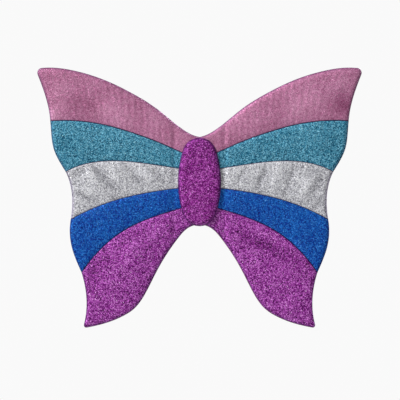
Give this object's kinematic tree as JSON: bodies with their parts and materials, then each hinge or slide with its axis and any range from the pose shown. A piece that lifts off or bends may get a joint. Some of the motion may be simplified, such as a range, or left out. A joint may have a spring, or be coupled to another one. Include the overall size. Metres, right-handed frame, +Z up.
{
  "type": "costume fairy wings",
  "caption": "Padded butterfly-shaped costume wings in glitter stripes, hinged by their cloth to a padded oval body, with elastic arm loops behind.",
  "frame": {"origin": "centre of the back patch's outer face, which rests on the wearer's back", "axes": "+Z up along the body as worn, +X to the wearer's right across the wings, +Y out of the back towards the wearer; the glitter side faces -Y"},
  "size_m": [0.45, 0.1202, 0.3604],
  "materials": {
    "pink_glitter": "glitter fabric, pink",
    "teal_glitter": "glitter fabric, teal",
    "silver_glitter": "glitter fabric, silver",
    "blue_glitter": "glitter fabric, royal blue",
    "purple_glitter": "glitter fabric, purple",
    "body_glitter": "glitter fabric, purple, on the padded body",
    "backing_satin": "woven satin, pale pink",
    "patch_satin": "felt, purple",
    "wadding": "polyester wadding sheet",
    "stuffing": "loose polyester fibre",
    "board": "flexible plastic sheet",
    "steel_wire": "bare spring wire",
    "ferrule": "crimped tube",
    "elastic": "woven elastic tape, white",
    "thread": "sewing thread, white",
    "label_satin": "blank satin tape, white"
  },
  "bodies": {
    "root": {"pink_stripe_centre": "pink_glitter", "teal_stripe_centre": "teal_glitter", "silver_stripe_centre": "silver_glitter", "blue_stripe_centre": "blue_glitter", "purple_stripe_centre": "purple_glitter", "centre_wadding": "wadding", "centre_backing": "backing_satin", "spine_board": "board", "back_patch": "patch_satin", "body_stuffing": "stuffing", "body_cover": "body_glitter", "left_strap_tabs": "elastic", "right_strap_tabs": "elastic", "strap_tacks": "thread", "care_label": "label_satin"},
    "left_wing": {"left_pink_stripe": "pink_glitter", "left_teal_stripe": "teal_glitter", "left_silver_stripe": "silver_glitter", "left_blue_stripe": "blue_glitter", "left_purple_stripe": "purple_glitter", "left_wing_wadding": "wadding", "left_wing_backing": "backing_satin", "left_wing_wire": "steel_wire", "left_wire_ferrule": "ferrule"},
    "right_wing": {"right_pink_stripe": "pink_glitter", "right_teal_stripe": "teal_glitter", "right_silver_stripe": "silver_glitter", "right_blue_stripe": "blue_glitter", "right_purple_stripe": "purple_glitter", "right_wing_wadding": "wadding", "right_wing_backing": "backing_satin", "right_wing_wire": "steel_wire", "right_wire_ferrule": "ferrule"},
    "left_strap": {"left_arm_strap": "elastic"},
    "right_strap": {"right_arm_strap": "elastic"}
  },
  "joints": [
    {"name": "left_wing_fold", "type": "hinge", "parent": "root", "child": "left_wing", "pos_m": [-0.035, -0.0066, 0], "axis": [0, 0, 1], "range_deg": [-20, 85], "stiffness_Nm_per_rad": 0.05},
    {"name": "right_wing_fold", "type": "hinge", "parent": "root", "child": "right_wing", "pos_m": [0.035, -0.0066, 0], "axis": [0, 0, -1], "range_deg": [-20, 85], "stiffness_Nm_per_rad": 0.05},
    {"name": "left_strap_swing", "type": "hinge", "parent": "root", "child": "left_strap", "pos_m": [-0.024, 0.005, 0], "axis": [0, 0, 1], "range_deg": [-15, 35], "stiffness_Nm_per_rad": 0.002},
    {"name": "right_strap_swing", "type": "hinge", "parent": "root", "child": "right_strap", "pos_m": [0.024, 0.005, 0], "axis": [0, 0, -1], "range_deg": [-15, 35], "stiffness_Nm_per_rad": 0.002}
  ]
}
